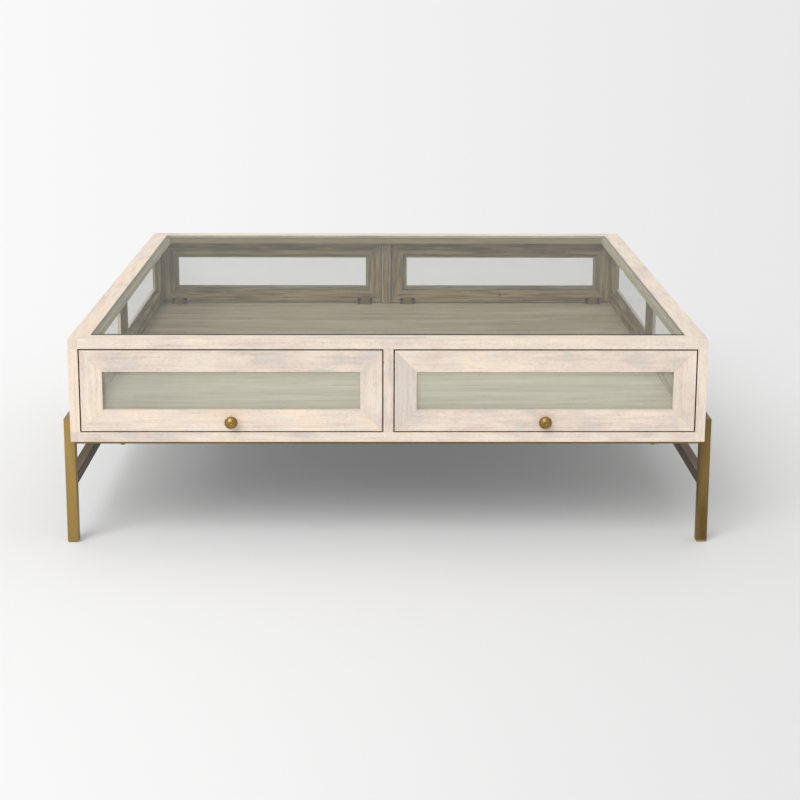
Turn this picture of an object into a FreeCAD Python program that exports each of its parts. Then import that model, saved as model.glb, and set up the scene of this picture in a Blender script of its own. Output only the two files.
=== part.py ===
"""Glazed display coffee table on a base of square metal tube.

A shallow wooden case carries a glass top. Its sides have two fixed windows each, and its front and
back have two framed glass doors each, hung on pins near their top corners. The case stands on two
cross rails between four legs. Millimetres, +Z up, the front faces -Y, and the origin is on the floor
under the middle of the table.
"""

import FreeCAD, Part
import math
import os
import Sketcher

Vector = FreeCAD.Vector

# Every driving size, with what it measures.
SIZES = [
    ("table_height", 400, "floor to the top of the wooden frame"),
    ("case_width", 1160, "wooden case, left to right"),
    ("case_depth", 1160, "wooden case, front to back"),
    ("case_height", 192, "wooden case, underside to top"),
    ("top_thickness", 18, "top frame"),
    ("top_face_width", 36, "top frame, outer edge to the glass"),
    ("top_ledge", 10, "ledge under the edge of the glass"),
    ("glass_thickness", 6, "top glass"),
    ("glass_proud", 1, "top glass above the wooden frame"),
    ("glass_gap", 2, "between the top glass and the frame round it"),
    ("glass_arris", 0.8, "ground edge of the top glass"),
    ("floor_thickness", 18, "floor board"),
    ("side_thickness", 18, "side frames"),
    ("end_stile_width", 50, "side frames, front and back stiles"),
    ("mid_stile_width", 40, "side frames, middle stile"),
    ("post_width", 18, "centre posts between the doors"),
    ("post_depth", 26, "centre posts, front to back"),
    ("door_thickness", 18, "door frames"),
    ("door_member", 40, "door stiles and rails"),
    ("door_gap", 2.4, "round each door"),
    ("rebate_width", 10, "pane rebate, across the member"),
    ("rebate_depth", 11, "pane rebate, in from the inner face"),
    ("pane_thickness", 4, "door and side panes"),
    ("pane_gap", 1, "between a pane and the sides of its rebate"),
    ("pivot_drop", 24, "door pivots below the door's top edge"),
    ("pin_diameter", 5, "pivot pins"),
    ("pin_clearance", 0.1, "pivot pins in the doors, on the radius"),
    ("pin_in_door", 12, "pivot pin inside the door stile"),
    ("pin_in_case", 8, "pivot pin inside the case"),
    ("pin_end_gap", 0.5, "between a pin's end and the bottom of its hole in the door"),
    ("knob_diameter", 24, "door knob, widest"),
    ("knob_reach", 22, "door knob, out from the door"),
    ("knob_foot", 14, "door knob, foot against the door"),
    ("knob_neck", 9, "door knob, neck"),
    ("knob_rim", 2, "door knob, thickness of the rim"),
    ("knob_crown", 5.5, "door knob, rise of the domed face"),
    ("knob_flare", 6, "door knob, height of the flare from the neck to the rim"),
    ("knob_foot_thickness", 3, "door knob, foot"),
    ("screw_diameter", 4, "knob screw, shank"),
    ("screw_clearance", 0.3, "knob screw in the door rail, on the radius"),
    ("screw_grip", 9, "knob screw inside the knob"),
    ("screw_head", 8, "knob screw, head"),
    ("screw_head_rise", 2.4, "knob screw, height of the head"),
    ("catch_width", 21, "magnetic catch, housing"),
    ("catch_depth", 16, "magnetic catch, housing"),
    ("catch_height", 14, "magnetic catch, housing"),
    ("catch_ear", 8, "magnetic catch, each ear"),
    ("catch_ear_depth", 9, "magnetic catch, ears front to back"),
    ("catch_ear_thickness", 3, "magnetic catch, ears"),
    ("catch_round", 1.5, "magnetic catch, rounded back edge"),
    ("catch_inset", 42, "middle of a catch in from the door's edge"),
    ("catch_gap", 0.3, "between a catch and its strike plate"),
    ("catch_screw", 3, "catch screws, shank"),
    ("catch_screw_head", 6, "catch screws, head"),
    ("catch_screw_rise", 2, "catch screws, height of the head"),
    ("catch_screw_grip", 10, "catch screws inside the floor board"),
    ("strike_width", 36, "strike plate"),
    ("strike_height", 8, "strike plate"),
    ("strike_thickness", 1.2, "strike plate"),
    ("strike_lift", 2, "strike plate above the door's bottom edge"),
    ("strike_screw", 2.5, "strike plate screws, shank"),
    ("strike_screw_head", 4.5, "strike plate screws, head"),
    ("strike_screw_rise", 1.5, "strike plate screws, height of the head"),
    ("strike_screw_grip", 9, "strike plate screws inside the door rail"),
    ("strike_screw_spread", 28.5, "between the two screws of a strike plate"),
    ("tube", 20, "legs and side rails, square tube"),
    ("tube_wall", 1.5, "wall of every tube"),
    ("tube_corner", 1.6, "rounded corners of every tube"),
    ("leg_set_back", 40, "legs in from the case's front and back"),
    ("leg_rise", 32, "legs and upper rails above the case's underside"),
    ("lower_rail_top", 129, "floor to the top of the lower side rails"),
    ("cross_rail_height", 16, "cross rails under the case"),
    ("glide_height", 4, "foot glide below the leg"),
    ("glide_round", 2.5, "rounded lower edge of the foot glide"),
    ("glide_plug", 14, "foot glide inside the leg"),
    ("glide_slack", 0.2, "foot glide inside the leg, each side"),
    ("bolt_diameter", 6, "bolts through the cross rails"),
    ("bolt_clearance", 0.3, "bolts in the cross rails, on the radius"),
    ("bolt_grip", 12, "bolts inside the floor board"),
    ("bolt_head", 11, "bolt heads"),
    ("bolt_head_rise", 3.5, "height of the bolt heads"),
    ("bolt_inset", 87, "bolts in from the ends of the cross rails"),
]

doc = FreeCAD.newDocument("coffee_table")
sheet = doc.addObject("Spreadsheet::Sheet", "sizes")
for row, (alias, number, meaning) in enumerate(SIZES, start=1):
    sheet.set(f"A{row}", meaning)
    sheet.set(f"B{row}", str(number))
    sheet.setAlias(f"B{row}", alias)
doc.recompute()


def size(alias):
    return f"sizes.{alias}"


def value(expression):
    return float(sheet.evalExpression(expression))


# Levels and spans that several pieces share, as expressions on the sheet.
CASE_UNDERSIDE = "(sizes.table_height - sizes.case_height)"
CASE_FLOOR = f"({CASE_UNDERSIDE} + sizes.floor_thickness)"
FRAME_UNDERSIDE = "(sizes.table_height - sizes.top_thickness)"
INNER_HEIGHT = f"({FRAME_UNDERSIDE} - {CASE_FLOOR})"
HALF_WIDTH = "(sizes.case_width / 2)"
HALF_DEPTH = "(sizes.case_depth / 2)"
LIP = "(sizes.door_thickness - sizes.rebate_depth)"
SIDE_LIP = "(sizes.side_thickness - sizes.rebate_depth)"

GLASS_TOP = "(sizes.table_height + sizes.glass_proud)"
GLASS_SEAT = f"({GLASS_TOP} - sizes.glass_thickness)"
GLASS_INSET = "(sizes.top_face_width + sizes.glass_gap)"

BAY_WIDTH = f"({HALF_WIDTH} - sizes.side_thickness - sizes.post_width / 2)"
DOOR_WIDTH = f"({BAY_WIDTH} - 2 * sizes.door_gap)"
DOOR_HEIGHT = f"({INNER_HEIGHT} - 2 * sizes.door_gap)"
DOOR_BOTTOM = f"({CASE_FLOOR} + sizes.door_gap)"
DOOR_TOP = f"({DOOR_BOTTOM} + {DOOR_HEIGHT})"
PIVOT_LEVEL = f"({DOOR_TOP} - sizes.pivot_drop)"
DOOR_BACK = f"(sizes.door_thickness - {HALF_DEPTH})"

SIDE_RAIL = "(sizes.door_gap + sizes.door_member)"
WINDOW_HEIGHT = f"({INNER_HEIGHT} - 2 * {SIDE_RAIL})"
SIDE_RAIL_LENGTH = "(sizes.case_depth - 2 * sizes.end_stile_width)"
WINDOW_LENGTH = f"(({SIDE_RAIL_LENGTH} - sizes.mid_stile_width) / 2)"

LEG_TOP = f"({CASE_UNDERSIDE} + sizes.leg_rise)"
LEG_LENGTH = f"({LEG_TOP} - sizes.glide_height)"
LEG_FRONT = f"({HALF_DEPTH} - sizes.leg_set_back)"

X, Y, Z = Vector(1, 0, 0), Vector(0, 1, 0), Vector(0, 0, 1)
ORIGIN = (-1, 1)
# The front of the table and the same turned half round, for its back.
ENDS = {"front": 1, "back": -1}
HANDS = {"left": -1, "right": 1}

nodes = []


def new_body(label):
    body = doc.addObject("PartDesign::Body", label)
    body.Label = label
    return body


def new_sketch(body, plane, offset=None):
    sketch = body.newObject("Sketcher::SketchObject", f"{body.Label}_sketch")
    support = [item for item in body.Origin.OriginFeatures if item.Role == plane][0]
    sketch.AttachmentSupport = [(support, "")]
    sketch.MapMode = "FlatFace"
    if offset is not None:
        sketch.setExpression("AttachmentOffset.Base.z", offset)
    return sketch


def dimension(sketch, kind, ends, expression, name):
    """One driving dimension of a sketch, bound to the sheet."""
    index = sketch.addConstraint(Sketcher.Constraint(kind, *ends, value(expression)))
    sketch.renameConstraint(index, name)
    sketch.setExpression(f"Constraints.{name}", expression)


def closed_outline(sketch, points):
    """Straight lines through the points, joined end to end, and the index of the first."""
    first = sketch.GeometryCount
    corners = [Vector(x, y, 0) for x, y in points]
    for start, end in zip(corners, corners[1:] + corners[:1]):
        sketch.addGeometry(Part.LineSegment(start, end))
    for step in range(len(corners)):
        following = (step + 1) % len(corners)
        sketch.addConstraint(Sketcher.Constraint("Coincident", first + step, 2, first + following, 1))
    return first


def rectangle(sketch, left, bottom, width, height):
    """A rectangle whose lower left corner lies at left, bottom from the sketch's origin."""
    x, y, w, h = value(left), value(bottom), value(width), value(height)
    first = closed_outline(sketch, [(x, y), (x + w, y), (x + w, y + h), (x, y + h)])
    for line, kind in enumerate(("Horizontal", "Vertical", "Horizontal", "Vertical")):
        sketch.addConstraint(Sketcher.Constraint(kind, first + line))
    corner = (first, 1)
    dimension(sketch, "DistanceX", (first, 1, first, 2), width, f"width{first}")
    dimension(sketch, "DistanceY", (first + 1, 1, first + 1, 2), height, f"height{first}")
    dimension(sketch, "DistanceX", ORIGIN + corner, left, f"left{first}")
    dimension(sketch, "DistanceY", ORIGIN + corner, bottom, f"bottom{first}")


def circle(sketch, x, y, diameter):
    centre = Vector(value(x), value(y), 0)
    index = sketch.addGeometry(Part.Circle(centre, Z, value(diameter) / 2))
    dimension(sketch, "Diameter", (index,), diameter, f"diameter{index}")
    dimension(sketch, "DistanceX", ORIGIN + (index, 3), x, f"across{index}")
    dimension(sketch, "DistanceY", ORIGIN + (index, 3), y, f"up{index}")


def mitred_outline(sketch, length, width):
    """A long side of the given length along X, and both ends cut back at 45 degrees."""
    run, across = value(length), value(width)
    corners = [(0, 0), (run, 0), (run - across, across), (across, across)]
    first = closed_outline(sketch, corners)
    sketch.addConstraint(Sketcher.Constraint("Coincident", first, 1, *ORIGIN))
    sketch.addConstraint(Sketcher.Constraint("Horizontal", first))
    sketch.addConstraint(Sketcher.Constraint("Horizontal", first + 2))
    dimension(sketch, "DistanceX", (first, 1, first, 2), length, "length")
    dimension(sketch, "DistanceY", (first + 1, 1, first + 1, 2), width, "width")
    dimension(sketch, "DistanceX", (first + 1, 2, first + 1, 1), width, "far_mitre")
    dimension(sketch, "DistanceX", (first + 3, 2, first + 3, 1), width, "near_mitre")


def pad(body, sketch, length):
    feature = body.newObject("PartDesign::Pad", f"{body.Label}_pad")
    feature.Profile = sketch
    feature.setExpression("Length", length)
    doc.recompute()
    return feature


def cut(body, sketch, depth=None, away=False):
    """A pocket of the given depth, or right through, which has to take material away."""
    before = body.Shape.Volume
    feature = body.newObject("PartDesign::Pocket", f"{body.Label}_pocket")
    feature.Profile = sketch
    feature.Reversed = away
    if depth is None:
        feature.Type = "ThroughAll"
    else:
        feature.setExpression("Length", depth)
    doc.recompute()
    if body.Shape.Volume >= before:
        raise RuntimeError(f"a pocket of {body.Label} cuts nothing")
    return feature


def edges_of(feature, wanted):
    """Names of the feature's edges that pass a test."""
    edges = enumerate(feature.Shape.Edges, start=1)
    return [f"Edge{number}" for number, edge in edges if wanted(edge)]


def runs_along(edge, direction):
    start, end = edge.Vertexes[0].Point, edge.Vertexes[-1].Point
    span = end - start
    return span.Length > 0 and abs(abs(span.normalize().dot(direction)) - 1) < 1e-6


def soften(body, feature, wanted, radius, kind="Fillet"):
    """Round or chamfer the edges of a body's last feature that pass a test."""
    finish = body.newObject(f"PartDesign::{kind}", f"{body.Label}_{kind.lower()}")
    finish.Base = (feature, edges_of(feature, wanted))
    finish.setExpression("Radius" if kind == "Fillet" else "Size", radius)
    doc.recompute()
    return finish


def place(piece, x, y, z, turn=None, end=1):
    """Put a piece at x, y, z, or at the same place on the table's other end."""
    turn = turn or FreeCAD.Rotation()
    half_turn = FreeCAD.Rotation(Z, 0 if end > 0 else 180)
    piece.Placement = FreeCAD.Placement(Vector(), half_turn * turn)
    piece.setExpression("Placement.Base.x", f"{end} * ({x})")
    piece.setExpression("Placement.Base.y", f"{end} * ({y})")
    piece.setExpression("Placement.Base.z", z)
    return piece


def axes(along, across, through):
    """The turn that sends a piece's own X, Y and Z to these directions."""
    return FreeCAD.Rotation(along, across, through, "XYZ")


def keep(piece):
    nodes.append(piece)
    return piece


def keep_group(label, pieces):
    """Several separate solids of one kind, as one node."""
    group = doc.addObject("Part::Compound", label)
    group.Label = label
    group.Links = pieces
    return keep(group)


# Wooden members with mitred ends and a lip that the glass lies against.

def mitred_member(label, length, body_width, lip_width, lip, thickness):
    """Outer edge on X, width along Y. The lip lies at Z = 0 and reaches furthest in."""
    body = new_body(label)
    lip_sketch = new_sketch(body, "XY_Plane")
    mitred_outline(lip_sketch, length, f"({body_width} + {lip_width})")
    pad(body, lip_sketch, lip)
    body_sketch = new_sketch(body, "XY_Plane")
    mitred_outline(body_sketch, length, body_width)
    pad(body, body_sketch, thickness)
    return body


def board(label, width, depth, thickness):
    """A plain board with one corner at its own origin."""
    body = new_body(label)
    outline = new_sketch(body, "XY_Plane")
    rectangle(outline, "0", "0", width, depth)
    pad(body, outline, thickness)
    return body


def build_top_frame():
    seat = f"({GLASS_SEAT} - {FRAME_UNDERSIDE})"
    width, depth = size("case_width"), size("case_depth")
    corners = {
        "front": (width, X, Y, f"-{HALF_WIDTH}", f"-{HALF_DEPTH}"),
        "right": (depth, Y, -X, HALF_WIDTH, f"-{HALF_DEPTH}"),
        "back": (width, -X, -Y, HALF_WIDTH, HALF_DEPTH),
        "left": (depth, -Y, X, f"-{HALF_WIDTH}", HALF_DEPTH),
    }
    for side, (length, along, across, x, y) in corners.items():
        rail = mitred_member(f"top_frame_{side}", length, size("top_face_width"),
                             size("top_ledge"), seat, size("top_thickness"))
        place(rail, x, y, FRAME_UNDERSIDE, axes(along, across, Z))
        keep(rail)


def build_top_glass():
    width = f"(sizes.case_width - 2 * {GLASS_INSET})"
    depth = f"(sizes.case_depth - 2 * {GLASS_INSET})"
    glass = board("top_glass", width, depth, size("glass_thickness"))
    top = value(size("glass_thickness"))
    soften(glass, glass.Tip, lambda edge: min(v.Z for v in edge.Vertexes) > top - 1e-6,
           size("glass_arris"), "Chamfer")
    place(glass, f"{GLASS_INSET} - {HALF_WIDTH}", f"{GLASS_INSET} - {HALF_DEPTH}", GLASS_SEAT)
    keep(glass)


def catch_centres():
    """Across places of the four catches of one end, as expressions."""
    outer = f"({HALF_WIDTH} - sizes.side_thickness - sizes.door_gap - sizes.catch_inset)"
    inner = "(sizes.post_width / 2 + sizes.door_gap + sizes.catch_inset)"
    return [f"-{outer}", f"-{inner}", inner, outer]


CATCH_FACE = f"({DOOR_BACK} + sizes.strike_thickness + sizes.catch_gap)"
EAR_CENTRE = "(sizes.catch_width / 2 + sizes.catch_ear / 2)"
EAR_SCREW = f"({CATCH_FACE} + sizes.catch_depth - sizes.catch_ear_depth / 2)"
STRIKE_SCREW = "(sizes.strike_screw_spread / 2)"
BOLT_ACROSS = f"({HALF_WIDTH} - sizes.bolt_inset)"
CROSS_CENTRE = f"({LEG_FRONT} - sizes.tube / 2)"


def build_floor_board():
    """The floor runs under the side frames. It has blind holes for catch screws and base bolts."""
    floor = new_body("floor_board")
    outline = new_sketch(floor, "XY_Plane")
    rectangle(outline, f"-{HALF_WIDTH}", f"-{HALF_DEPTH}", size("case_width"), size("case_depth"))
    pad(floor, outline, size("floor_thickness"))
    screws = new_sketch(floor, "XY_Plane", size("floor_thickness"))
    for end in ENDS.values():
        for centre in catch_centres():
            for hand in HANDS.values():
                circle(screws, f"{centre} + {hand} * {EAR_CENTRE}", f"{end} * {EAR_SCREW}",
                       size("catch_screw"))
    cut(floor, screws, size("catch_screw_grip"))
    bolts = new_sketch(floor, "XY_Plane")
    for end in ENDS.values():
        for hand in HANDS.values():
            circle(bolts, f"{hand} * {BOLT_ACROSS}", f"{end} * {CROSS_CENTRE}", size("bolt_diameter"))
    cut(floor, bolts, size("bolt_grip"), away=True)
    place(floor, "0", "0", CASE_UNDERSIDE)
    keep(floor)


# The two side frames. Each piece lies flat with its outer face at Z = 0, length along X, Y up.

def side_turn(hand):
    """Stand a flat piece up as a side wall: its X goes along the table and its Z points inwards."""
    return axes(Y, Z, X) if hand < 0 else axes(-Y, Z, -X)


def place_on_side(piece, hand, along, level, sunk="0"):
    """Along is measured from the front on the left side, and from the back on the right."""
    start = f"{hand} * ({HALF_DEPTH} - ({along}))"
    return place(piece, f"{hand} * ({HALF_WIDTH} - {sunk})", start, level, side_turn(hand))


def side_member(label, width, height, rebates):
    """A flat member with pane rebates sunk into its inner face."""
    member = board(label, width, height, size("side_thickness"))
    sketch = new_sketch(member, "XY_Plane", size("side_thickness"))
    for left, bottom, run, rise in rebates:
        rectangle(sketch, left, bottom, run, rise)
    cut(member, sketch, size("rebate_depth"))
    return member


def end_stile(label, rebate_left, pivot_along):
    """An upright at the end of a side frame, with a hole for the pivot pin of the door beside it."""
    low = f"({SIDE_RAIL} - sizes.rebate_width)"
    tall = f"({WINDOW_HEIGHT} + 2 * sizes.rebate_width)"
    stile = side_member(label, size("end_stile_width"), INNER_HEIGHT,
                        [(rebate_left, low, size("rebate_width"), tall)])
    pivot = new_sketch(stile, "XY_Plane", size("side_thickness"))
    circle(pivot, pivot_along, f"({PIVOT_LEVEL} - {CASE_FLOOR})", size("pin_diameter"))
    cut(stile, pivot, size("pin_in_case"))
    return stile


def build_side_frame(side, hand):
    wide, lip = size("end_stile_width"), size("rebate_width")
    half_door = "(sizes.door_thickness / 2)"
    near = end_stile(f"{side}_near_stile", f"({wide} - {lip})", half_door)
    far = end_stile(f"{side}_far_stile", "0", f"({wide} - {half_door})")
    middle_wide = size("mid_stile_width")
    middle = side_member(f"{side}_middle_stile", middle_wide, WINDOW_HEIGHT,
                         [("0", "0", lip, WINDOW_HEIGHT),
                          (f"({middle_wide} - {lip})", "0", lip, WINDOW_HEIGHT)])
    middle_start = f"({wide} + {WINDOW_LENGTH})"
    place_on_side(near, hand, "0", CASE_FLOOR)
    place_on_side(far, hand, f"(sizes.case_depth - {wide})", CASE_FLOOR)
    place_on_side(middle, hand, middle_start, f"({CASE_FLOOR} + {SIDE_RAIL})")
    keep_group(f"{side}_side_stiles", [near, middle, far])

    first_run = f"({WINDOW_LENGTH} + {lip})"
    second_start = f"({SIDE_RAIL_LENGTH} - {WINDOW_LENGTH} - {lip})"
    edges = {"bottom": f"({SIDE_RAIL} - {lip})", "top": "0"}
    levels = {"bottom": CASE_FLOOR, "top": f"({FRAME_UNDERSIDE} - {SIDE_RAIL})"}
    for name, low in edges.items():
        rail = side_member(f"{side}_side_{name}_rail", SIDE_RAIL_LENGTH, SIDE_RAIL,
                           [("0", low, first_run, lip), (second_start, low, first_run, lip)])
        keep(place_on_side(rail, hand, wide, levels[name]))

    reach = f"({lip} - sizes.pane_gap)"
    panes = []
    for number, start in enumerate((wide, f"({middle_start} + {middle_wide})"), start=1):
        pane = board(f"{side}_pane_{number}", f"({WINDOW_LENGTH} + 2 * {reach})",
                     f"({WINDOW_HEIGHT} + 2 * {reach})", size("pane_thickness"))
        level = f"({CASE_FLOOR} + {SIDE_RAIL} - {reach})"
        panes.append(place_on_side(pane, hand, f"({start} - {reach})", level, SIDE_LIP))
    keep_group(f"{side}_side_panes", panes)


def build_centre_post(name, end):
    """The post between two doors, with a blind pivot hole in each side."""
    post = board(f"{name}_centre_post", size("post_width"), size("post_depth"), INNER_HEIGHT)
    for offset, away in (("0", True), (size("post_width"), False)):
        pivot = new_sketch(post, "YZ_Plane", offset)
        circle(pivot, "sizes.door_thickness / 2", f"{PIVOT_LEVEL} - {CASE_FLOOR}", size("pin_diameter"))
        cut(post, pivot, size("pin_in_case"), away)
    keep(place(post, "-sizes.post_width / 2", f"-{HALF_DEPTH}", CASE_FLOOR, end=end))


# Round pieces, each turned about its own Z.

def rod(label, diameter, length):
    body = new_body(label)
    section = new_sketch(body, "XY_Plane")
    circle(section, "0", "0", diameter)
    pad(body, section, length)
    return body


def screw(label, head, rise, shank, length):
    """Head above Z = 0 with a chamfered rim, shank below it."""
    body = new_body(label)
    section = new_sketch(body, "XY_Plane", f"-({length})")
    circle(section, "0", "0", shank)
    pad(body, section, length)
    top = new_sketch(body, "XY_Plane")
    circle(top, "0", "0", head)
    pad(body, top, rise)
    crown = value(rise)

    def rim(edge):
        return min(vertex.Z for vertex in edge.Vertexes) > crown / 2

    soften(body, body.Tip, rim, f"{rise} / 2", "Chamfer")
    return body


def knob(label):
    """Turned knob: foot, straight neck, flare under the rim, rim and dome."""
    foot, neck, widest = (value(size(name)) / 2 for name in ("knob_foot", "knob_neck", "knob_diameter"))
    foot_top, reach = value(size("knob_foot_thickness")), value(size("knob_reach"))
    rim_top = reach - value(size("knob_crown"))
    rim_low = rim_top - value(size("knob_rim"))
    flare_low = rim_low - value(size("knob_flare"))
    dome = (widest ** 2 + (reach - rim_top) ** 2) / (2 * (reach - rim_top))

    body = new_body(label)
    sketch = new_sketch(body, "XZ_Plane")
    corners = [(0, reach), (0, 0), (foot, 0), (foot, foot_top), (neck, foot_top), (neck, flare_low),
               (widest, rim_low), (widest, rim_top)]
    points = [Vector(x, y, 0) for x, y in corners]
    lines = []
    for start, end in zip(points, points[1:]):
        lines.append(sketch.addGeometry(Part.LineSegment(start, end)))
    centre_line, base, foot_side, foot_face, neck_side, flare, rim = lines
    crown_circle = Part.Circle(Vector(0, reach - dome, 0), Z, dome)
    crown_start = math.acos(widest / dome)
    crown = sketch.addGeometry(Part.ArcOfCircle(crown_circle, crown_start, math.pi / 2))

    for line, following in zip(lines, lines[1:]):
        sketch.addConstraint(Sketcher.Constraint("Coincident", line, 2, following, 1))
    sketch.addConstraint(Sketcher.Constraint("Coincident", rim, 2, crown, 1))
    sketch.addConstraint(Sketcher.Constraint("Coincident", crown, 2, centre_line, 1))
    sketch.addConstraint(Sketcher.Constraint("Coincident", centre_line, 2, *ORIGIN))
    # The middle of the dome's arc lies on the sketch's own vertical axis, which has number -2.
    sketch.addConstraint(Sketcher.Constraint("PointOnObject", crown, 3, -2))
    for line in (centre_line, foot_side, neck_side, rim):
        sketch.addConstraint(Sketcher.Constraint("Vertical", line))
    for line in (base, foot_face):
        sketch.addConstraint(Sketcher.Constraint("Horizontal", line))
    dimension(sketch, "DistanceY", (centre_line, 2, centre_line, 1), size("knob_reach"), "reach")
    dimension(sketch, "DistanceX", (base, 1, base, 2), "sizes.knob_foot / 2", "foot")
    dimension(sketch, "DistanceY", (foot_side, 1, foot_side, 2), size("knob_foot_thickness"), "foot_top")
    dimension(sketch, "DistanceX", (centre_line, 2, foot_face, 2), "sizes.knob_neck / 2", "neck")
    dimension(sketch, "DistanceX", (centre_line, 2, rim, 1), "sizes.knob_diameter / 2", "widest")
    dimension(sketch, "DistanceY", (flare, 1, flare, 2), size("knob_flare"), "flare")
    dimension(sketch, "DistanceY", (rim, 1, rim, 2), size("knob_rim"), "rim")
    dimension(sketch, "DistanceY", (rim, 2, crown, 2), size("knob_crown"), "crown")

    turned = body.newObject("PartDesign::Revolution", f"{label}_turned")
    turned.Profile = sketch
    turned.ReferenceAxis = (sketch, ["V_Axis"])
    turned.Angle = 360
    doc.recompute()
    thread = new_sketch(body, "XY_Plane")
    circle(thread, "0", "0", size("screw_diameter"))
    cut(body, thread, size("screw_grip"), away=True)
    return body


def strike_plate(label):
    """Steel plate for a magnet, centred on its own Z, with a hole for a screw near each end."""
    body = new_body(label)
    outline = new_sketch(body, "XY_Plane")
    rectangle(outline, "-sizes.strike_width / 2", "-sizes.strike_height / 2", size("strike_width"),
              size("strike_height"))
    pad(body, outline, size("strike_thickness"))
    holes = new_sketch(body, "XY_Plane")
    for side in HANDS.values():
        circle(holes, f"{side} * {STRIKE_SCREW}", "0", size("strike_screw"))
    cut(body, holes, away=True)
    return body


# Doors. Every door is built for the front of the table and given a half turn for the back.

def door_left_edge(local_hand):
    if local_hand < 0:
        return f"(sizes.side_thickness + sizes.door_gap - {HALF_WIDTH})"
    return "(sizes.post_width / 2 + sizes.door_gap)"


def build_door(name, end, hand):
    left = door_left_edge(hand * end)
    right = f"({left} + {DOOR_WIDTH})"
    front = f"-{HALF_DEPTH}"
    member = f"(sizes.door_member - {size('rebate_width')})"
    strikes = [f"({left} + sizes.catch_inset)", f"({right} - sizes.catch_inset)"]
    strike_middle = "(sizes.strike_lift + sizes.strike_height / 2)"

    def door_member(part, length):
        return mitred_member(f"{name}_{part}", length, member, size("rebate_width"), LIP,
                             size("door_thickness"))

    holes = {"left": f"({DOOR_HEIGHT} - sizes.pivot_drop)", "right": size("pivot_drop")}
    places = {"left": (left, DOOR_BOTTOM, axes(Z, X, Y)), "right": (right, DOOR_TOP, axes(-Z, -X, Y))}
    for part, along in holes.items():
        stile = door_member(f"{part}_stile", DOOR_HEIGHT)
        pivot = new_sketch(stile, "XZ_Plane")
        circle(pivot, along, "sizes.door_thickness / 2", "sizes.pin_diameter + 2 * sizes.pin_clearance")
        cut(stile, pivot, "sizes.pin_in_door + sizes.pin_end_gap")
        across, level, turn = places[part]
        keep(place(stile, across, front, level, turn, end))

    top = door_member("top_rail", DOOR_WIDTH)
    keep(place(top, left, front, DOOR_TOP, axes(X, -Z, Y), end))

    bottom = door_member("bottom_rail", DOOR_WIDTH)
    knob_hole = new_sketch(bottom, "XY_Plane")
    circle(knob_hole, f"{DOOR_WIDTH} / 2", "sizes.door_member / 2",
           "sizes.screw_diameter + 2 * sizes.screw_clearance")
    cut(bottom, knob_hole, away=True)
    strike_holes = new_sketch(bottom, "XY_Plane", size("door_thickness"))
    for along in (size("catch_inset"), f"({DOOR_WIDTH} - sizes.catch_inset)"):
        for side in HANDS.values():
            circle(strike_holes, f"{along} + {side} * {STRIKE_SCREW}", strike_middle,
                   size("strike_screw"))
    cut(bottom, strike_holes, size("strike_screw_grip"))
    keep(place(bottom, right, front, DOOR_BOTTOM, axes(-X, Z, Y), end))

    inset = f"({member} + sizes.pane_gap)"
    pane = board(f"{name}_pane", f"({DOOR_WIDTH} - 2 * {inset})", f"({DOOR_HEIGHT} - 2 * {inset})",
                 size("pane_thickness"))
    keep(place(pane, f"{left} + {inset}", f"{LIP} - {HALF_DEPTH}", f"{DOOR_TOP} - {inset}",
               axes(X, -Z, Y), end))

    middle = f"({left} + {DOOR_WIDTH} / 2)"
    knob_level = f"({DOOR_BOTTOM} + sizes.door_member / 2)"
    keep(place(knob(f"{name}_knob"), middle, front, knob_level, axes(X, Z, -Y), end))

    fittings = [screw(f"{name}_knob_screw", size("screw_head"), size("screw_head_rise"),
                      size("screw_diameter"), "sizes.door_thickness + sizes.screw_grip")]
    inwards = axes(X, -Z, Y)
    place(fittings[0], middle, DOOR_BACK, knob_level, inwards, end)
    for number, across in enumerate(strikes, start=1):
        level = f"({DOOR_BOTTOM} + {strike_middle})"
        plate = strike_plate(f"{name}_strike_{number}")
        fittings.append(place(plate, across, DOOR_BACK, level, inwards, end))
        for side in HANDS.values():
            fixing = screw(f"{name}_strike_screw_{number}", size("strike_screw_head"),
                           size("strike_screw_rise"), size("strike_screw"),
                           "sizes.strike_thickness + sizes.strike_screw_grip")
            place(fixing, f"{across} + {side} * {STRIKE_SCREW}",
                  f"{DOOR_BACK} + sizes.strike_thickness", level, inwards, end)
            fittings.append(fixing)
    keep_group(f"{name}_fittings", fittings)


def build_pivot_pins():
    """Each pin is fixed in the case and turns in a hole in the door's stile."""
    length = "(sizes.pin_in_case + sizes.door_gap + sizes.pin_in_door)"
    wall = f"({HALF_WIDTH} - sizes.side_thickness + sizes.pin_in_case)"
    post = "(sizes.post_width / 2 - sizes.pin_in_case)"
    starts = [(f"-{wall}", 1), (f"-{post}", -1), (post, 1), (wall, -1)]
    pins = []
    for end_name, end in ENDS.items():
        for number, (start, way) in enumerate(starts, start=1):
            pin = rod(f"{end_name}_pin_{number}", size("pin_diameter"), length)
            turn = FreeCAD.Rotation(Y, 90 * way)
            place(pin, start, f"sizes.door_thickness / 2 - {HALF_DEPTH}", PIVOT_LEVEL, turn, end)
            pins.append(pin)
    keep_group("door_pivot_pins", pins)


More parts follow.
